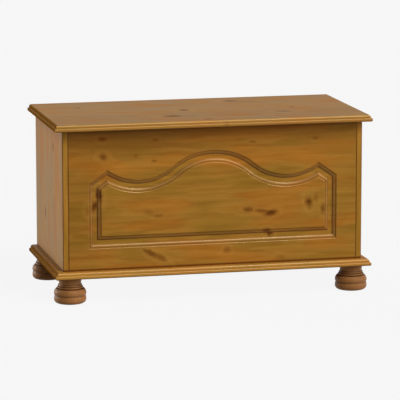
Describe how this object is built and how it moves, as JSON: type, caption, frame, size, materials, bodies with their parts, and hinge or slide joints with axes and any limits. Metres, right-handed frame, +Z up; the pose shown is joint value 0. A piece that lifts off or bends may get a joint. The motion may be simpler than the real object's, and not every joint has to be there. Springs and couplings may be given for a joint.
{
  "type": "blanket chest",
  "caption": "Low wooden blanket chest with a moulded hinged lid, an arched routed front panel, a moulded base and turned bun feet.",
  "frame": {"origin": "on the floor, in the middle of the overall width and depth", "axes": "+X across the chest to the right as seen from the front, -Y to the front, +Z up"},
  "size_m": [0.83, 0.4108, 0.462],
  "materials": {
    "lacquered_pine": "satin",
    "turned_pine": "satin",
    "hardboard": "matt",
    "beech": "matt",
    "brassed_steel": "satin",
    "zinc_plated": "satin"
  },
  "bodies": {
    "carcass": {"base_board": "lacquered_pine", "side_panel_left": "lacquered_pine", "side_panel_right": "lacquered_pine", "front_panel": "lacquered_pine", "back_top_rail": "lacquered_pine", "back_bottom_rail": "lacquered_pine", "back_panel": "hardboard", "foot_front_left": "turned_pine", "foot_front_right": "turned_pine", "foot_back_left": "turned_pine", "foot_back_right": "turned_pine", "foot_bolts": "zinc_plated", "foot_inserts": "zinc_plated", "corner_dowels": "beech", "base_dowels": "beech", "cam_bolts": "zinc_plated", "cams": "zinc_plated", "base_screws": "zinc_plated", "hinge_left_rail_leaf": "brassed_steel", "hinge_right_rail_leaf": "brassed_steel", "hinge_left_pin": "brassed_steel", "hinge_right_pin": "brassed_steel", "hinge_rail_screws": "brassed_steel", "stay_side_plate": "brassed_steel", "stay_side_screws": "brassed_steel", "stay_side_rivet": "brassed_steel"},
    "lid": {"lid_board": "lacquered_pine", "lid_batten_left": "lacquered_pine", "lid_batten_right": "lacquered_pine", "batten_screws": "zinc_plated", "hinge_left_lid_leaf": "brassed_steel", "hinge_right_lid_leaf": "brassed_steel", "hinge_lid_screws": "brassed_steel", "stay_lid_bracket": "brassed_steel", "stay_lid_screws": "brassed_steel", "stay_lid_rivet": "brassed_steel"},
    "stay_lower_arm": {"stay_lower_arm": "brassed_steel", "stay_elbow_rivet": "brassed_steel"},
    "stay_upper_arm": {"stay_upper_arm": "brassed_steel"}
  },
  "joints": [
    {"name": "lid_hinge", "type": "hinge", "parent": "carcass", "child": "lid", "pos_m": [0, 0.20212, 0.444], "axis": [-1, 0, 0], "range_deg": [0, 95]},
    {"name": "stay_side_pivot", "type": "hinge", "parent": "carcass", "child": "stay_lower_arm", "pos_m": [0.3757, 0.16612, 0.356], "axis": [-1, 0, 0], "range_deg": [0, 95]},
    {"name": "stay_lid_pivot", "type": "hinge", "parent": "lid", "child": "stay_upper_arm", "pos_m": [0.3735, 0.08213, 0.432], "axis": [-1, 0, 0], "range_deg": [-95, 0]}
  ],
  "couplings": [
    {"joint": "stay_side_pivot", "follows": "lid_hinge", "ratio": 1},
    {"joint": "stay_lid_pivot", "follows": "lid_hinge", "ratio": -1}
  ]
}
